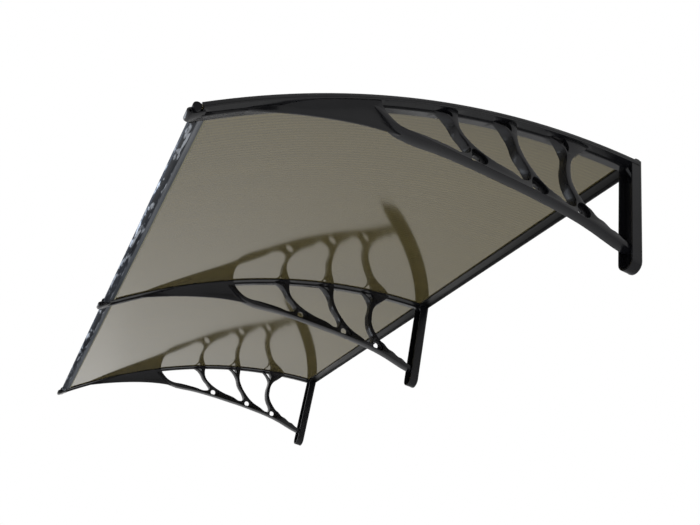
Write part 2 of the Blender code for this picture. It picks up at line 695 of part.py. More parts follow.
def make_cover_strips(parts, cutters, material):
    """A drilled strip over each bracket: flat in the middle, with a lip down over the sheet at the ends."""
    for side, centre in BRACKETS.items():
        low = FLANGE_TOP + CLEARANCE if side in BAYS else ROOF_RADIUS - STRIP_THICKNESS
        strip = roof_layer("cover_strip_" + side, ROOF_RADIUS, low, ROOF_REAR_DEPTH, SHEET_FRONT_DEPTH,
                           FLANGE_WIDTH, parts, -centre)
        slots = [sheet_slot(centre, cutters)] if side in BAYS else []
        combine(strip, slots + [screw_holes(cutters, centre)], "DIFFERENCE")
        strip.data.materials.append(material)


def bay_gap(bay, margin):
    """Centre and width of the space between a bay's two flanges, less a margin at each end."""
    low, high = (BRACKETS[side] for side in BAYS[bay])
    return (low + high) / 2, high - low - FLANGE_WIDTH - 2 * margin


def front_rail_outline():
    """Section of the front rail: two lips that grip the sheet, a groove, and a bullnose."""
    rear = PROJECTION - SHEET_FRONT_SETBACK - FRONT_RAIL_GRIP
    groove = SHEET_FRONT_DEPTH + GROOVE_WIDTH
    lip_under = SHEET_UNDER - CLEARANCE - RAIL_LIP
    lip_top = SHEET_TOP + CLEARANCE + RAIL_LIP
    middle = (SHEET_TOP + SHEET_UNDER) / 2
    stop = SHEET_FRONT_DEPTH + CLEARANCE
    nose_length = PROJECTION - FRONT_RAIL_SETBACK - groove - GROOVE_WIDTH
    bullnose = []
    for turn in numpy.linspace(-math.pi / 2, math.pi / 2, ROUND_SEGMENTS // 2 + 1):
        reach = groove + GROOVE_WIDTH + nose_length * abs(math.cos(turn)) ** BULLNOSE_POWER
        bullnose.append(roof_point(middle + BULLNOSE_HALF_HEIGHT * math.sin(turn), reach))
    return sharp([roof_point(lip_under, rear), roof_point(lip_under, groove),
                  roof_point(lip_under + GROOVE_DEPTH, groove),
                  roof_point(lip_under + GROOVE_DEPTH, groove + GROOVE_WIDTH)] + bullnose
                 + [roof_point(lip_top, groove), roof_point(lip_top, rear),
                    roof_point(SHEET_TOP + CLEARANCE, rear), roof_point(SHEET_TOP + CLEARANCE, stop),
                    roof_point(SHEET_UNDER - CLEARANCE, stop), roof_point(SHEET_UNDER - CLEARANCE, rear)])


def make_front_rails(parts, rail_material, gasket_material):
    """The front rail of each bay, and the gasket behind its lower lip."""
    gasket_front = SHEET_FRONT_DEPTH - FRONT_RAIL_GRIP - CLEARANCE
    gasket_top = SHEET_UNDER - CLEARANCE
    for bay in BAYS:
        centre, width = bay_gap(bay, CLEARANCE)
        rail = extruded("front_rail_" + bay, [front_rail_outline()], width, SIDE_VIEW, parts, -centre)
        rail.data.materials.append(rail_material)
        gasket = roof_layer("front_gasket_" + bay, gasket_top, gasket_top - GASKET_THICKNESS,
                            gasket_front - GASKET_WIDTH, gasket_front, width, parts, -centre)
        gasket.data.materials.append(gasket_material)


def rear_rail_outline():
    """Section of the rear rail: a back wall, a lip above and below the sheet, and two beads below."""
    rear = SEAL_THICKNESS + CLEARANCE
    stop = ROOF_REAR_DEPTH - CLEARANCE
    front = REAR_RAIL_REACH
    top = SHEET_TOP + CLEARANCE
    bottom = SHEET_UNDER - CLEARANCE
    bead = bottom - RAIL_LIP - REAR_RAIL_BEAD_DEPTH
    lip_under = bottom - RAIL_LIP
    first_bead = rear + REAR_RAIL_BEAD_WIDTH
    last_bead = front - REAR_RAIL_BEAD_WIDTH
    return sharp([roof_point(top + RAIL_LIP, rear), roof_point(bead, rear), roof_point(bead, first_bead),
                  roof_point(lip_under, first_bead), roof_point(lip_under, last_bead),
                  roof_point(bead, last_bead), roof_point(bead, front), roof_point(bottom, front),
                  roof_point(bottom, stop), roof_point(top, stop), roof_point(top, front),
                  roof_point(top + RAIL_LIP, front)])


def make_rear_rails(parts, rail_material, seal_material):
    """The rear rail of each bay, and the seal between it and the wall."""
    low = SHEET_UNDER - CLEARANCE - RAIL_LIP - REAR_RAIL_BEAD_DEPTH - SEAL_OVERHANG
    high = SHEET_TOP + CLEARANCE + RAIL_LIP + SEAL_OVERHANG
    for bay in BAYS:
        centre, width = bay_gap(bay, CLEARANCE + (LEG_PLATE_WIDTH - FLANGE_WIDTH) / 2)
        rail = extruded("rear_rail_" + bay, [rear_rail_outline()], width, SIDE_VIEW, parts, -centre)
        rail.data.materials.append(rail_material)
        corners = [(0.0, height_on(low, 0.0)), (SEAL_THICKNESS, height_on(low, 0.0)),
                   (SEAL_THICKNESS, height_on(high, 0.0)), (0.0, height_on(high, 0.0))]
        seal = extruded("wall_seal_" + bay, [sharp(corners)], width, SIDE_VIEW, parts, -centre)
        seal.data.materials.append(seal_material)


def make_plugs(parts, material):
    """A round plug on both sides of each bracket's nose."""
    centre = roof_point(ROOF_RADIUS - PLUG_RADIUS + PLUG_RISE, PROJECTION, -PLUG_SETBACK)
    for side, bracket in BRACKETS.items():
        for label, direction in (("a", 1), ("b", -1)):
            offset = direction * (FLANGE_WIDTH - PLUG_THICKNESS) / 2
            plug = extruded("tip_plug_" + side + "_" + label, [circle(centre, PLUG_RADIUS)], PLUG_THICKNESS,
                            SIDE_VIEW, parts, -(bracket + offset))
            plug.data.materials.append(material)


def screw_mesh(parts, material):
    """A pan-head screw, turned about its own axis, with the head's seat at z = 0."""
    length = STRIP_THICKNESS + 2 * CLEARANCE + SHEET_THICKNESS + SCREW_BITE
    crown = [(SCREW_HEAD_RADIUS * across, SCREW_HEAD_HEIGHT * up) for across, up in SCREW_HEAD_CROWN]
    profile = [(0.0, SCREW_HEAD_HEIGHT)] + crown
    profile += [(SCREW_HEAD_RADIUS, CLEARANCE), (SCREW_SHANK_RADIUS, CLEARANCE),
                (SCREW_SHANK_RADIUS, SCREW_SHANK_RADIUS - length), (0.0, -length)]
    mesh = bpy.data.meshes.new("strip_screw")
    mesh.from_pydata([(across, 0.0, up) for across, up in profile],
                     [(index, index + 1) for index in range(len(profile) - 1)], [])
    guide = mesh_object("strip_screw", mesh, parts)
    modifier = guide.modifiers.new("Screw", "SCREW")
    modifier.steps = ROUND_SEGMENTS // 2
    modifier.render_steps = ROUND_SEGMENTS // 2
    modifier.use_merge_vertices = True
    modifier.merge_threshold = WELD_DISTANCE
    apply_modifiers(guide)
    turned = guide.data
    bpy.data.objects.remove(guide, do_unlink=True)
    weld(turned)
    turned.materials.append(material)
    return turned


def make_screws(parts, material):
    """The screws along each cover strip, each square to the roof."""
    mesh = screw_mesh(parts, material)
    for side, centre in BRACKETS.items():
        for number, angle in enumerate(screw_angles(), start=1):
            depth, height = polar(ROOF_RADIUS, angle)
            screw = mesh_object("strip_screw_" + side + "_" + str(number), mesh, parts)
            screw.location = (centre, -depth, height - MOUNT_HEIGHT)
            screw.rotation_euler.x = angle


def shade(parts):
    """Shade the round pieces smooth, with their corners kept."""
    for thing in parts.objects:
        thing.data.shade_smooth()
        thing.data.set_sharp_from_angle(angle=SMOOTH_ANGLE)


def main():
    """Build the canopy."""
    clear_scene()
    parts = make_collection("door_canopy")
    cutters = make_collection("cutters")
    moulding = make_material("moulding", (0.020, 0.021, 0.024), 0.35)
    bronze = make_material("bronze_sheet", (0.30, 0.26, 0.18), 0.25, 0.0, 0.85)
    black_strip = make_material("cover_strip", (0.018, 0.018, 0.020), 0.40)
    grey_metal = make_material("front_rail", (0.32, 0.33, 0.34), 0.35, 1.0)
    dark_metal = make_material("rear_rail", (0.05, 0.05, 0.052), 0.40, 0.6)
    rubber = make_material("seal", (0.03, 0.03, 0.03), 0.80)
    gasket = make_material("gasket", (0.16, 0.15, 0.10), 0.70)
    plug = make_material("plug", (0.012, 0.012, 0.014), 0.45)
    steel = make_material("screw", (0.10, 0.10, 0.11), 0.35, 1.0)
    make_brackets(parts, cutters, moulding)
    make_sheets(parts, cutters, bronze)
    make_cover_strips(parts, cutters, black_strip)
    make_front_rails(parts, grey_metal, gasket)
    make_rear_rails(parts, dark_metal, rubber)
    make_plugs(parts, plug)
    make_screws(parts, steel)
    shade(parts)


main()
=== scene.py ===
"""Door canopy: the finished surfaces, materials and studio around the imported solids.

Metres. The wall is the plane y = 0, the canopy reaches forward along -Y, and +Z is up. The pieces that the
frame already shapes well are merged copies with rounded edges, and the sheets, plugs and screws are new.
"""

import math

import bpy
from bpy.props import FloatProperty, FloatVectorProperty, IntProperty, PointerProperty
from mathutils import Matrix, Vector


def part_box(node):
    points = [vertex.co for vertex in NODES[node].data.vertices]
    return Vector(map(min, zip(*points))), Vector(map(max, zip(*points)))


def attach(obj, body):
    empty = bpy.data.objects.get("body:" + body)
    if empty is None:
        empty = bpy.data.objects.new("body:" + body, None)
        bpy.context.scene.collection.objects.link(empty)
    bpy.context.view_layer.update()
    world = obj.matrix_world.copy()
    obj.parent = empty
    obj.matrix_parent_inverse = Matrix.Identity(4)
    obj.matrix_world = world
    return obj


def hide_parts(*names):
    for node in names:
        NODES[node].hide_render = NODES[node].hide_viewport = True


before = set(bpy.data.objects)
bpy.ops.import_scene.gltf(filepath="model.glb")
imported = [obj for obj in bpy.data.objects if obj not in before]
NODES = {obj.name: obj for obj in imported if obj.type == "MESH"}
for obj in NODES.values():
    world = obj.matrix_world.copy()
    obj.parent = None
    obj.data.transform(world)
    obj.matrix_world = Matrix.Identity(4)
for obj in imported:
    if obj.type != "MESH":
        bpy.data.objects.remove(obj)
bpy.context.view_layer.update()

bl_info = {
    "name": "Door canopy",
    "version": (1, 0, 0),
    "blender": (4, 5, 0),
    "location": "3D View > Sidebar > Canopy",
    "description": "Finished surfaces, materials and studio for a two-bay door canopy",
    "category": "Object",
}

BODY = "root"
SIDES = ("right", "middle", "left")
BAYS = ("right", "left")

# Arc of the roof, about an axis along X that lies behind the wall's face
ROOF_RADIUS = 1.730
AXIS_SETBACK = 0.0734
HEIGHT_AT_WALL = 0.150
ROOF_AXIS = Vector((0.0, AXIS_SETBACK, HEIGHT_AT_WALL - math.sqrt(ROOF_RADIUS ** 2 - AXIS_SETBACK ** 2)))
STRIP_THICKNESS = 0.0028
SHEET_THICKNESS = 0.0050
CLEARANCE = 0.0003

SCREW_HEAD_RADIUS = 0.0045
SCREW_HEAD_HEIGHT = 0.0022
SCREW_SHANK_RADIUS = 0.0020

# Where the front rail's nose, painted dark as shade, meets its lip, painted paler as lit, in Y, and half the
# width over which they blend
FRONT_RAIL_LIT_LIP_EDGE = -0.9865
LIT_LIP_BLEND = 0.0006

FRONT_RAIL_EDGE_TINT = (0.25, 0.27, 0.30, 1.0)
# Painted highlights: colour of the bright glints on the front rail's nose
PAINTED_GLINT_COLOUR = (0.36, 0.38, 0.41, 1.0)
MOULDING_SPECULAR = 0.22
POLYCARBONATE_IOR = 1.58
SHEET_TRANSMISSION = 0.45
SHEET_REFLECTION_TINT = (1.0, 0.94, 0.78, 1.0)
# Strength of the painted shade lines at the sheet's webs
WEB_SHADE_STRENGTH = 0.60
SEAL_COLOUR = (0.03, 0.03, 0.03)
PLUG_COLOUR = (0.003, 0.003, 0.004)
SCREW_COLOUR = (0.05, 0.05, 0.055)

CANOPY_MIDDLE = Vector((0.0, -0.5, 0.0))
KEY_LAMP_PLACE = (-0.5, -4.0, 3.0)
KEY_LAMP_SIZE = 5.0
SHEEN_LAMP_PLACE = (-2.6, -3.8, -0.3)
SHEEN_LAMP_SIZE = 2.4
COOL_LIGHT = (0.80, 0.88, 1.0)
FLOOR_SIZE = 60.0
FLOOR_COLOUR = (0.86, 0.86, 0.86, 1.0)
SENSOR_WIDTH = 36.0

MERGE_DISTANCE = 0.00002
FLAT_ANGLE = math.radians(0.3)
BEVEL_ANGLE = math.radians(38)
SMOOTH_ANGLE = math.radians(32)
FACE_LIMIT = 0.9


def activate(piece):
    """Make a piece the only selected object."""
    bpy.ops.object.select_all(action="DESELECT")
    piece.select_set(True)
    bpy.context.view_layer.objects.active = piece


def add_object(name, mesh):
    """Link a new object for a mesh, at the origin."""
    piece = bpy.data.objects.new(name, mesh)
    bpy.context.scene.collection.objects.link(piece)
    return piece


def edit(piece, select="SELECT"):
    """Enter edit mode on a piece, with everything selected or nothing."""
    activate(piece)
    bpy.ops.object.mode_set(mode="EDIT")
    bpy.ops.mesh.select_mode(type="FACE")
    bpy.ops.mesh.select_all(action=select)


def select_faces(piece, test):
    """In edit mode, select the faces that a test accepts, and no others."""
    bpy.ops.mesh.select_all(action="DESELECT")
    bpy.ops.object.mode_set(mode="OBJECT")
    for face in piece.data.polygons:
        face.select = bool(test(face))
    bpy.ops.object.mode_set(mode="EDIT")


def finish_edit():
    """Leave edit mode."""
    bpy.ops.object.mode_set(mode="OBJECT")


def node_copy(node, name, join_flat):
    """A copy of a frame node, with its loose triangles merged and, on request, its flat faces joined."""
    piece = add_object(name, NODES[node].data.copy())
    activate(piece)
    bpy.ops.mesh.customdata_custom_splitnormals_clear()
    edit(piece)
    bpy.ops.mesh.remove_doubles(threshold=MERGE_DISTANCE)
    if join_flat:
        bpy.ops.mesh.dissolve_limited(angle_limit=FLAT_ANGLE)
    finish_edit()
    return piece


def round_edges(piece, width, segments=2):
    """Round a piece's sharp edges and apply the modifier."""
    activate(piece)
    modifier = piece.modifiers.new("Rounded edges", "BEVEL")
    modifier.width = width
    modifier.segments = segments
    modifier.limit_method = "ANGLE"
    modifier.angle_limit = BEVEL_ANGLE
    modifier.use_clamp_overlap = False
    bpy.ops.object.modifier_apply(modifier=modifier.name)


def shade(piece):
    """Shade a piece smooth, with its corners kept."""
    activate(piece)
    bpy.ops.object.shade_smooth_by_angle(angle=SMOOTH_ANGLE)


def dress(piece, node, material):
    """Give a finished piece its material, and let it stand for a frame node."""
    piece.data.materials.clear()
    piece.data.materials.append(material)
    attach(piece, BODY)
    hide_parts(node)


def rounded_copies(nodes, width, material, join_flat=True):
    """Rounded copies of like nodes, all in one material."""
    for node in nodes:
        piece = node_copy(node, node + "_finish", join_flat)
        round_edges(piece, width)
        shade(piece)
        dress(piece, node, material)


def new_material(name, roughness, metallic=0.0):
    """A material with a Principled shader, and its node tree and shader."""
    material = bpy.data.materials.new(name)
    material.use_nodes = True
    tree = material.node_tree
    shader = tree.nodes["Principled BSDF"]
    shader.inputs["Roughness"].default_value = roughness
    shader.inputs["Metallic"].default_value = metallic
    return material, tree, shader


def noise(tree, scale, stretch=(1.0, 1.0, 1.0), detail=3.0):
    """A noise pattern on the piece's own coordinates."""
    place = tree.nodes.new("ShaderNodeTexCoord")
    mapping = tree.nodes.new("ShaderNodeMapping")
    mapping.inputs["Scale"].default_value = stretch
    texture = tree.nodes.new("ShaderNodeTexNoise")
    texture.inputs["Scale"].default_value = scale
    texture.inputs["Detail"].default_value = detail
    tree.links.new(place.outputs["Object"], mapping.inputs["Vector"])
    tree.links.new(mapping.outputs["Vector"], texture.inputs["Vector"])
    return texture.outputs["Fac"]


def ranged(tree, value, low, high):
    """Bring a noise value into a range."""
    node = tree.nodes.new("ShaderNodeMapRange")
    node.inputs["From Min"].default_value = 0.3
    node.inputs["From Max"].default_value = 0.7
    node.inputs["To Min"].default_value = low
    node.inputs["To Max"].default_value = high
    tree.links.new(value, node.inputs["Value"])
    return node.outputs["Result"]


def between(tree, value, first, second):
    """A colour between two colours, by a value."""
    node = tree.nodes.new("ShaderNodeMix")
    node.data_type = "RGBA"
    node.inputs["A"].default_value = (*first, 1.0)
    node.inputs["B"].default_value = (*second, 1.0)
    tree.links.new(value, node.inputs["Factor"])
    return node.outputs["Result"]


def scaled(colour, factor):
    """A colour made lighter or darker."""
    return tuple(channel * factor for channel in colour)


def bumped(tree, shader, height, distance, strength=1.0):
    """Raise the surface by a height pattern."""
    node = tree.nodes.new("ShaderNodeBump")
    node.inputs["Distance"].default_value = distance
    node.inputs["Strength"].default_value = strength
    tree.links.new(height, node.inputs["Height"])
    tree.links.new(node.outputs["Normal"], shader.inputs["Normal"])


def mottled(tree, pattern, colour, dark, light):
    """A colour that varies with a noise pattern, between a darker and a lighter share of itself."""
    return between(tree, ranged(tree, pattern, 0.0, 1.0), scaled(colour, dark), scaled(colour, light))


def roughened(tree, shader, pattern, low, high):
    """Let the roughness vary with a noise pattern."""
    tree.links.new(ranged(tree, pattern, low, high), shader.inputs["Roughness"])


def along(tree, axis):
    """The piece's own coordinate along an axis."""
    place = tree.nodes.new("ShaderNodeTexCoord")
    split = tree.nodes.new("ShaderNodeSeparateXYZ")
    tree.links.new(place.outputs["Object"], split.inputs["Vector"])
    return split.outputs[axis]


def moulding_material(colour):
    """Black glossy moulded plastic with a fine grain and faint flow marks."""
    material, tree, shader = new_material("moulded_plastic", 0.30)
    shader.inputs["Specular IOR Level"].default_value = MOULDING_SPECULAR
    flow_marks = noise(tree, 9.0, (1.0, 1.0, 2.5))
    tree.links.new(mottled(tree, flow_marks, colour, 0.8, 1.25), shader.inputs["Base Color"])
    roughened(tree, shader, noise(tree, 40.0), 0.18, 0.28)
    bumped(tree, shader, noise(tree, 900.0, detail=2.0), 0.00008, 0.5)
    return material


def web_shade_pattern(tree, pitch):
    """A pattern from 0 to 1 that repeats along X with the flutes' pitch, for the painted shade of the webs.
    """
    phase = tree.nodes.new("ShaderNodeMath")
    phase.operation = "MULTIPLY"
    phase.inputs[1].default_value = 2 * math.pi / pitch
    tree.links.new(along(tree, "X"), phase.inputs[0])
    wave = tree.nodes.new("ShaderNodeMath")
    wave.operation = "SINE"
    tree.links.new(phase.outputs["Value"], wave.inputs[0])
    level = tree.nodes.new("ShaderNodeMapRange")
    level.inputs["From Min"].default_value = -1.0
    tree.links.new(wave.outputs["Value"], level.inputs["Value"])
    return level.outputs["Result"]


def sheet_material(colour, roughness, pitch):
    """Bronze polycarbonate that lets a little light through, with streaks along its flutes and fine lines of
    painted shade where the webs are seen through it.
    """
    material, tree, shader = new_material("bronze_polycarbonate", roughness)
    shader.inputs["IOR"].default_value = POLYCARBONATE_IOR
    shader.inputs["Transmission Weight"].default_value = SHEET_TRANSMISSION
    shader.inputs["Specular IOR Level"].default_value = 1.0
    shader.inputs["Specular Tint"].default_value = SHEET_REFLECTION_TINT
    streaks = noise(tree, 60.0, (1.0, 0.03, 0.03))
    # Painted shade: darker lines on the skins at the webs' pitch
    web_shade = tree.nodes.new("ShaderNodeMix")
    web_shade.data_type = "RGBA"
    web_shade.blend_type = "MULTIPLY"
    web_shade.inputs["Factor"].default_value = WEB_SHADE_STRENGTH
    tree.links.new(mottled(tree, streaks, colour, 0.92, 1.08), web_shade.inputs["A"])
    tree.links.new(web_shade_pattern(tree, pitch), web_shade.inputs["B"])
    tree.links.new(web_shade.outputs["Result"], shader.inputs["Base Color"])
    return material


def extrusion_surface(name, metallic, roughness):
    """The surface of drawn aluminium, with fine lines along X, and no colour yet."""
    material, tree, shader = new_material(name, roughness, metallic)
    roughened(tree, shader, noise(tree, 90.0, (0.04, 1.0, 1.0)), roughness * 0.8, roughness * 1.3)
    bumped(tree, shader, noise(tree, 1400.0, (0.004, 1.0, 1.0), 2.0), 0.00006, 0.6)
    return material, tree, shader


def rear_rail_material(colour):
    """Dark drawn aluminium with uneven streaks along X."""
    material, tree, shader = extrusion_surface("dark_aluminium", 0.8, 0.38)
    streaks = noise(tree, 60.0, (0.05, 1.0, 1.0), 4.0)
    tree.links.new(mottled(tree, streaks, colour, 0.75, 1.2), shader.inputs["Base Color"])
    return material


def stepped(tree, value, low, high):
    """Bring a value to 0 below a low level and to 1 above a high one."""
    node = tree.nodes.new("ShaderNodeMapRange")
    node.inputs["From Min"].default_value = low
    node.inputs["From Max"].default_value = high
    tree.links.new(value, node.inputs["Value"])
    return node.outputs["Result"]


def front_rail_material(colour):
    """Drawn aluminium: a nose painted dark as shade with painted bright glints, and a lip behind it painted
    paler as lit.
    """
    material, tree, shader = extrusion_surface("front_rail_metal", 0.9, 0.36)
    shader.inputs["Specular Tint"].default_value = FRONT_RAIL_EDGE_TINT
    streaks = noise(tree, 70.0, (0.06, 1.0, 1.0), 4.0)
    nose_shade_and_glints = tree.nodes.new("ShaderNodeMix")
    nose_shade_and_glints.data_type = "RGBA"
    # Painted highlights: bright flecks of glint along the nose, by a noise mask
    nose_shade_and_glints.inputs["B"].default_value = PAINTED_GLINT_COLOUR
    tree.links.new(stepped(tree, noise(tree, 55.0, (0.35, 1.6, 1.6), 4.0), 0.53, 0.62), nose_shade_and_glints.inputs["Factor"])
    # Painted shade: the nose is a darkened copy of the rail's colour
    tree.links.new(mottled(tree, streaks, colour, 0.24, 0.42), nose_shade_and_glints.inputs["A"])
    whole = tree.nodes.new("ShaderNodeMix")
    whole.data_type = "RGBA"
    start, end = FRONT_RAIL_LIT_LIP_EDGE - LIT_LIP_BLEND, FRONT_RAIL_LIT_LIP_EDGE + LIT_LIP_BLEND
    # Painted light: behind the edge the lip is a lighter copy of the same colour
    tree.links.new(stepped(tree, along(tree, "Y"), start, end), whole.inputs["Factor"])
    tree.links.new(nose_shade_and_glints.outputs["Result"], whole.inputs["A"])
    tree.links.new(mottled(tree, streaks, colour, 0.60, 1.05), whole.inputs["B"])
    tree.links.new(whole.outputs["Result"], shader.inputs["Base Color"])
    return material


def rubber_material(name, colour):
    """Matt rubber with a fine uneven skin."""
    material, tree, shader = new_material(name, 0.75)
    tree.links.new(mottled(tree, noise(tree, 30.0), colour, 0.85, 1.15), shader.inputs["Base Color"])
    roughened(tree, shader, noise(tree, 150.0), 0.65, 0.85)
    bumped(tree, shader, noise(tree, 700.0), 0.00008, 0.6)
    return material


def satin_material(name, colour, roughness, metallic=0.0, specular=0.5):
    """A satin painted or moulded surface with a fine grain and light wear."""
    material, tree, shader = new_material(name, roughness, metallic)
    shader.inputs["Specular IOR Level"].default_value = specular
    tree.links.new(mottled(tree, noise(tree, 25.0), colour, 0.85, 1.2), shader.inputs["Base Color"])
    roughened(tree, shader, noise(tree, 120.0), roughness * 0.85, roughness * 1.2)
    bumped(tree, shader, noise(tree, 1100.0), 0.00006, 0.5)
    return material


class CanopyBracketSettings(bpy.types.PropertyGroup):
    """Sizes and colour of the moulded brackets."""

    edge_radius: FloatProperty(name="Edge radius", description="Rounding of the moulding's edges",
                               default=0.0006, min=0.0, precision=4, unit="LENGTH")
    colour: FloatVectorProperty(name="Plastic colour", description="Colour of the moulded plastic", size=3,
                                default=(0.0045, 0.0045, 0.0055), min=0.0, max=1.0, subtype="COLOR")


class CanopySheetSettings(bpy.types.PropertyGroup):
    """Sizes and colour of the twin-wall sheets."""

    flute_pitch: FloatProperty(name="Flute pitch", description="Distance between the sheet's webs",
                               default=0.0105, min=0.004, precision=4, unit="LENGTH")
    wall: FloatProperty(name="Wall", description="Thickness of the sheet's skins and webs",
                        default=0.0005, min=0.0002, precision=4, unit="LENGTH")
    arc_steps: IntProperty(name="Arc steps", description="Divisions along the sheet's curve",
                           default=40, min=8)
    colour: FloatVectorProperty(name="Sheet colour", description="Colour of the bronze sheet", size=3,
                                default=(0.185, 0.15, 0.06), min=0.0, max=1.0, subtype="COLOR")
    roughness: FloatProperty(name="Roughness", description="Roughness of the sheet's skins",
                             default=0.08, min=0.0, max=1.0, subtype="FACTOR")


class CanopyTrimSettings(bpy.types.PropertyGroup):
    """Sizes and colours of the rails, strips, seals, plugs and screws."""

    edge_radius: FloatProperty(name="Edge radius", description="Rounding of the rails' and strips' edges",
                               default=0.0004, min=0.0, precision=4, unit="LENGTH")
    front_rail_colour: FloatVectorProperty(name="Front rail colour",
                                           description="Colour of the grey front rail",
                                           default=(0.165, 0.17, 0.18), min=0.0, max=1.0,
                                           size=3, subtype="COLOR")
    rear_rail_colour: FloatVectorProperty(name="Rear rail colour", description="Colour of the dark rear rail",
                                          default=(0.007, 0.007, 0.007), min=0.0, max=1.0,
                                          size=3, subtype="COLOR")
    gasket_colour: FloatVectorProperty(name="Gasket colour", description="Colour of the olive gasket", size=3,
                                       default=(0.16, 0.15, 0.10), min=0.0, max=1.0, subtype="COLOR")
    strip_colour: FloatVectorProperty(name="Strip colour", description="Colour of the cover strips", size=3,
                                      default=(0.004, 0.004, 0.005), min=0.0, max=1.0, subtype="COLOR")


class CanopyStageSettings(bpy.types.PropertyGroup):
    """Studio around the canopy."""

    floor_drop: FloatProperty(name="Floor drop", description="Height of the canopy's origin above the floor",
                              default=2.3, min=1.5, unit="LENGTH")
    lamp_power: FloatProperty(name="Lamp power", description="Power of the main lamp",
                              default=90.0, min=0.0, unit="POWER")
    ambient: FloatProperty(name="Ambient", description="Strength of the light from all round",
                           default=0.9, min=0.0)
    sheen_power: FloatProperty(name="Sheen power", description="Power of the cool lamp in front",
                               default=90.0, min=0.0, unit="POWER")
    lens: FloatProperty(name="Lens", description="Focal length of the camera",
                        default=39.377, min=1.0, unit="CAMERA")
    camera_place: FloatVectorProperty(name="Camera place", description="Where the camera stands",
                                      default=(2.1013, -1.0564, -1.0705),
                                      size=3, subtype="TRANSLATION", unit="LENGTH")
    camera_turn: FloatVectorProperty(name="Camera turn", description="How the camera is turned",
                                     default=(2.09784, -0.179861, 1.122982),
                                     size=3, subtype="EULER", unit="ROTATION")


class CANOPY_OT_brackets(bpy.types.Operator):
    """Finish the three moulded brackets"""

    bl_idname = "canopy.brackets"
    bl_label = "Brackets"

    def execute(self, context):
        settings = context.scene.canopy_brackets
        rounded_copies(["bracket_" + side for side in SIDES], settings.edge_radius,
                       moulding_material(settings.colour), join_flat=False)
        return {"FINISHED"}


def flute(name, width, wall, steps, low_angle, high_angle):
    """One flute of the sheet along the roof's arc, open at its two sides, about an axis at the origin."""
    middle = ROOF_RADIUS - STRIP_THICKNESS - CLEARANCE - SHEET_THICKNESS / 2
    bpy.ops.object.select_all(action="DESELECT")
    bpy.ops.mesh.primitive_plane_add(size=1.0, location=(0.0, 0.0, 0.0))
    piece = bpy.context.object
    piece.name = name
    piece.data.transform(Matrix.Diagonal((width, SHEET_THICKNESS, 1.0, 1.0)))
    piece.data.transform(Matrix.Translation((0.0, 0.0, middle)) @ Matrix.Rotation(math.pi / 2, 4, "X"))
    piece.data.transform(Matrix.Rotation(low_angle, 4, "X"))
    edit(piece)
    bpy.ops.mesh.inset(thickness=wall)
    bpy.ops.mesh.delete(type="FACE")
    bpy.ops.mesh.select_all(action="SELECT")
    bpy.ops.mesh.spin(steps=steps, angle=low_angle - high_angle, center=(0.0, 0.0, 0.0), axis=(1.0, 0.0, 0.0))
    side = width / 2
    select_faces(piece, lambda face: abs(abs(face.center.x) - side) < MERGE_DISTANCE)
    bpy.ops.mesh.delete(type="FACE")
    finish_edit()
    return piece


class CANOPY_OT_sheets(bpy.types.Operator):
    """Model the two curved twin-wall sheets"""

    bl_idname = "canopy.sheets"
    bl_label = "Twin-wall sheets"

    def execute(self, context):
        settings = context.scene.canopy_sheets
        material = sheet_material(settings.colour, settings.roughness, settings.flute_pitch)
        for bay in BAYS:
            node = "sheet_" + bay
            low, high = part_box(node)
            underside = ROOF_RADIUS - STRIP_THICKNESS - CLEARANCE - SHEET_THICKNESS
            rear, front = (math.asin((ROOF_AXIS.y - depth) / underside) for depth in (high.y, low.y))
            count = round((high.x - low.x) / settings.flute_pitch)
            width = (high.x - low.x) / count
            piece = flute(node + "_twin_wall", width, settings.wall, settings.arc_steps, rear, front)
            activate(piece)
            array = piece.modifiers.new("Flutes", "ARRAY")
            array.count = count
            array.use_relative_offset = False
            array.use_constant_offset = True
            array.constant_offset_displace = (width, 0.0, 0.0)
            array.use_merge_vertices = True
            array.merge_threshold = MERGE_DISTANCE
            bpy.ops.object.modifier_apply(modifier=array.name)
            edit(piece)
            bpy.ops.mesh.fill_holes(sides=0)
            bpy.ops.mesh.select_all(action="SELECT")
            bpy.ops.mesh.normals_make_consistent(inside=False)
            finish_edit()
            piece.data.transform(Matrix.Translation(ROOF_AXIS + Vector((low.x + width / 2, 0.0, 0.0))))
            shade(piece)
            dress(piece, node, material)
        return {"FINISHED"}


class CANOPY_OT_cover_strips(bpy.types.Operator):
    """Finish the strips that clamp the sheets on the brackets"""

    bl_idname = "canopy.cover_strips"
    bl_label = "Cover strips"

    def execute(self, context):
        settings = context.scene.canopy_trim
        rounded_copies(["cover_strip_" + side for side in SIDES], settings.edge_radius,
                       satin_material("strip_black", settings.strip_colour, 0.42, specular=0.2))
        return {"FINISHED"}


class CANOPY_OT_front_rails(bpy.types.Operator):
    """Finish the front rails and their gaskets"""

    bl_idname = "canopy.front_rails"
    bl_label = "Front rails and gaskets"

    def execute(self, context):
        settings = context.scene.canopy_trim
        rounded_copies(["front_rail_" + bay for bay in BAYS], settings.edge_radius / 2,
                       front_rail_material(settings.front_rail_colour))
        rounded_copies(["front_gasket_" + bay for bay in BAYS], settings.edge_radius / 2,
                       rubber_material("olive_rubber", settings.gasket_colour))
        return {"FINISHED"}


class CANOPY_OT_rear_rails(bpy.types.Operator):
    """Finish the rear rails and the wall seals"""

    bl_idname = "canopy.rear_rails"
    bl_label = "Rear rails and seals"

    def execute(self, context):
        settings = context.scene.canopy_trim
        rounded_copies(["rear_rail_" + bay for bay in BAYS], settings.edge_radius / 2,
                       rear_rail_material(settings.rear_rail_colour))
        rounded_copies(["wall_seal_" + bay for bay in BAYS], settings.edge_radius / 2,
                       rubber_material("black_rubber", SEAL_COLOUR))
        return {"FINISHED"}


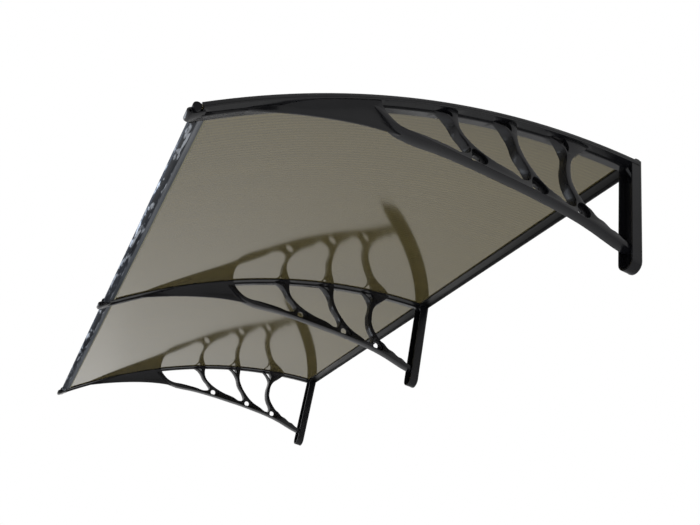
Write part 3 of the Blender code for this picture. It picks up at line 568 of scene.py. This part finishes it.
def plug_model(radius, thickness):
    """A round plug along X: a domed rim round a shallow dish, on its outer face."""
    bpy.ops.object.select_all(action="DESELECT")
    bpy.ops.mesh.primitive_cylinder_add(vertices=48, radius=radius, depth=thickness)
    piece = bpy.context.object
    edit(piece, "DESELECT")
    select_faces(piece, lambda face: face.normal.z > FACE_LIMIT)
    bpy.ops.mesh.inset(thickness=radius * 0.16)
    bpy.ops.mesh.inset(thickness=radius * 0.06)
    bpy.ops.transform.translate(value=(0.0, 0.0, -radius * 0.05))
    bpy.ops.mesh.inset(thickness=radius * 0.45)
    bpy.ops.transform.translate(value=(0.0, 0.0, -radius * 0.02))
    finish_edit()
    round_edges(piece, radius * 0.06, 3)
    piece.data.transform(Matrix.Rotation(math.pi / 2, 4, "Y"))
    return piece


class CANOPY_OT_plugs(bpy.types.Operator):
    """Model the round plugs on the brackets' noses"""

    bl_idname = "canopy.plugs"
    bl_label = "Nose plugs"

    def execute(self, context):
        material = satin_material("plug_black", PLUG_COLOUR, 0.40, specular=0.08)
        low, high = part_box("tip_plug_right_a")
        model = plug_model((high.z - low.z) / 2, high.x - low.x)
        for side in SIDES:
            for label in ("a", "b"):
                node = "tip_plug_" + side + "_" + label
                low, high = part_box(node)
                piece = add_object(node + "_finish", model.data.copy())
                if label == "b":
                    piece.data.transform(Matrix.Rotation(math.pi, 4, "Z"))
                piece.data.transform(Matrix.Translation((low + high) / 2))
                shade(piece)
                dress(piece, node, material)
        bpy.data.objects.remove(model, do_unlink=True)
        return {"FINISHED"}


def screw_model(head_radius, head_height, shank_radius, length):
    """A pan-head screw with a cross recess, with its head's top at the origin and its shank down."""
    bpy.ops.object.select_all(action="DESELECT")
    bpy.ops.mesh.primitive_cylinder_add(vertices=32, radius=head_radius, depth=head_height,
                                        location=(0.0, 0.0, -head_height / 2))
    piece = bpy.context.object
    piece.data.transform(piece.matrix_world)
    piece.matrix_world = Matrix.Identity(4)
    edit(piece, "DESELECT")
    select_faces(piece, lambda face: face.normal.z < -FACE_LIMIT)
    bpy.ops.mesh.inset(thickness=head_radius - shank_radius)
    straight = length - head_height - shank_radius
    for reach in (straight, shank_radius):
        bpy.ops.mesh.extrude_region_move(TRANSFORM_OT_translate={"value": (0.0, 0.0, -reach)})
    bpy.ops.transform.resize(value=(0.15, 0.15, 1.0))
    select_faces(piece, lambda face: face.normal.z > FACE_LIMIT)
    bpy.ops.mesh.inset(thickness=head_radius * 0.12)
    finish_edit()
    cut_cross(piece, head_radius, head_height)
    round_edges(piece, head_radius * 0.08, 2)
    return piece


def cut_cross(piece, head_radius, head_height):
    """Cut a cross recess into a screw's head."""
    for turn in (0.0, math.pi / 2):
        bpy.ops.object.select_all(action="DESELECT")
        bpy.ops.mesh.primitive_cube_add(size=1.0)
        cutter = bpy.context.object
        size = (head_radius * 1.1, head_radius * 0.22, head_height * 1.1)
        cutter.data.transform(Matrix.Diagonal((*size, 1.0)))
        cutter.data.transform(Matrix.Rotation(turn, 4, "Z"))
        activate(piece)
        modifier = piece.modifiers.new("Cross recess", "BOOLEAN")
        modifier.operation = "DIFFERENCE"
        modifier.solver = "EXACT"
        modifier.object = cutter
        bpy.ops.object.modifier_apply(modifier=modifier.name)
        bpy.data.objects.remove(cutter, do_unlink=True)


class CANOPY_OT_screws(bpy.types.Operator):
    """Model the screws through the cover strips"""

    bl_idname = "canopy.screws"
    bl_label = "Strip screws"

    def execute(self, context):
        material = satin_material("blackened_steel", SCREW_COLOUR, 0.38, 0.9)
        model = None
        for node in sorted(node for node in NODES if node.startswith("strip_screw_")):
            points = [vertex.co for vertex in NODES[node].data.vertices]
            tip = min(points, key=lambda point: point.z)
            top = max(points, key=lambda point: point.z)
            if model is None:
                length = (top - tip).length
                model = screw_model(SCREW_HEAD_RADIUS, SCREW_HEAD_HEIGHT, SCREW_SHANK_RADIUS, length)
            turn = Vector((0.0, 0.0, 1.0)).rotation_difference(top - tip).to_matrix().to_4x4()
            piece = add_object(node + "_finish", model.data.copy())
            piece.data.transform(Matrix.Translation(top) @ turn)
            shade(piece)
            dress(piece, node, material)
        bpy.data.objects.remove(model, do_unlink=True)
        return {"FINISHED"}


def make_floor(drop):
    """A wide pale floor below the canopy."""
    bpy.ops.object.select_all(action="DESELECT")
    bpy.ops.mesh.primitive_plane_add(size=FLOOR_SIZE, location=(0.0, 0.0, -drop))
    floor = bpy.context.object
    floor.name = "floor"
    material, _, shader = new_material("pale_floor", 0.9)
    shader.inputs["Base Color"].default_value = FLOOR_COLOUR
    floor.data.materials.append(material)


def make_world(ambient):
    """White for the camera, in reflections and through the sheet, and soft light for everything else."""
    world = bpy.data.worlds.new("studio")
    world.use_nodes = True
    bpy.context.scene.world = world
    tree = world.node_tree
    background = tree.nodes["Background"]
    background.inputs["Color"].default_value = (1.0, 1.0, 1.0, 1.0)
    path = tree.nodes.new("ShaderNodeLightPath")
    strength = None
    for name in ("Is Glossy Ray", "Is Transmission Ray", "Is Camera Ray"):
        choice = tree.nodes.new("ShaderNodeMapRange")
        choice.inputs["To Min"].default_value = ambient
        if strength:
            tree.links.new(strength, choice.inputs["To Min"])
        tree.links.new(path.outputs[name], choice.inputs["Value"])
        strength = choice.outputs["Result"]
    tree.links.new(strength, background.inputs["Strength"])


def make_lamp(name, place, size, power, colour=(1.0, 1.0, 1.0)):
    """A square soft lamp that faces the middle of the canopy."""
    data = bpy.data.lights.new(name, "AREA")
    data.size = size
    data.energy = power
    data.color = colour
    lamp = bpy.data.objects.new(name, data)
    bpy.context.scene.collection.objects.link(lamp)
    lamp.location = place
    lamp.rotation_euler = (CANOPY_MIDDLE - Vector(place)).to_track_quat("-Z", "Y").to_euler()
    return lamp


def make_camera(place, turn, lens):
    """The camera at the viewing angle of the picture, whose frame is 700 by 525."""
    data = bpy.data.cameras.new("camera")
    data.lens = lens
    data.sensor_width = SENSOR_WIDTH
    camera = bpy.data.objects.new("camera", data)
    bpy.context.scene.collection.objects.link(camera)
    camera.location = place
    camera.rotation_euler = turn
    bpy.context.scene.camera = camera


class CANOPY_OT_stage(bpy.types.Operator):
    """Make the floor, the lights and the camera"""

    bl_idname = "canopy.stage"
    bl_label = "Studio"

    def execute(self, context):
        settings = context.scene.canopy_stage
        make_floor(settings.floor_drop)
        make_world(settings.ambient)
        key_lamp = make_lamp("key_lamp", KEY_LAMP_PLACE, KEY_LAMP_SIZE, settings.lamp_power)
        # Its square outline would show on the glossy sheet
        key_lamp.visible_glossy = False
        make_lamp("sheen_lamp", SHEEN_LAMP_PLACE, SHEEN_LAMP_SIZE, settings.sheen_power, COOL_LIGHT)
        make_camera(settings.camera_place, settings.camera_turn, settings.lens)
        context.scene.view_settings.view_transform = "Standard"
        return {"FINISHED"}


OPERATORS = (CANOPY_OT_brackets, CANOPY_OT_sheets, CANOPY_OT_cover_strips, CANOPY_OT_front_rails,
             CANOPY_OT_rear_rails, CANOPY_OT_plugs, CANOPY_OT_screws, CANOPY_OT_stage)
SETTINGS = {"canopy_brackets": CanopyBracketSettings, "canopy_sheets": CanopySheetSettings,
            "canopy_trim": CanopyTrimSettings, "canopy_stage": CanopyStageSettings}


class CANOPY_PT_panel(bpy.types.Panel):
    """Sidebar panel that lists the canopy's pieces and settings"""

    bl_idname = "CANOPY_PT_panel"
    bl_label = "Door canopy"
    bl_space_type = "VIEW_3D"
    bl_region_type = "UI"
    bl_category = "Canopy"

    def draw(self, context):
        layout = self.layout
        for operator in OPERATORS:
            layout.operator(operator.bl_idname)
        for name, group in SETTINGS.items():
            box = layout.box()
            for setting in group.__annotations__:
                box.prop(getattr(context.scene, name), setting)


def register():
    for group in SETTINGS.values():
        bpy.utils.register_class(group)
    for operator in OPERATORS:
        bpy.utils.register_class(operator)
    bpy.utils.register_class(CANOPY_PT_panel)
    for name, group in SETTINGS.items():
        setattr(bpy.types.Scene, name, PointerProperty(type=group))


def unregister():
    for name in SETTINGS:
        delattr(bpy.types.Scene, name)
    bpy.utils.unregister_class(CANOPY_PT_panel)
    for operator in reversed(OPERATORS):
        bpy.utils.unregister_class(operator)
    for group in SETTINGS.values():
        bpy.utils.unregister_class(group)


def main():
    """Build the whole canopy and its studio."""
    register()
    bpy.ops.canopy.brackets()
    bpy.ops.canopy.sheets()
    bpy.ops.canopy.cover_strips()
    bpy.ops.canopy.front_rails()
    bpy.ops.canopy.rear_rails()
    bpy.ops.canopy.plugs()
    bpy.ops.canopy.screws()
    bpy.ops.canopy.stage()


if __name__ == "__main__":
    main()
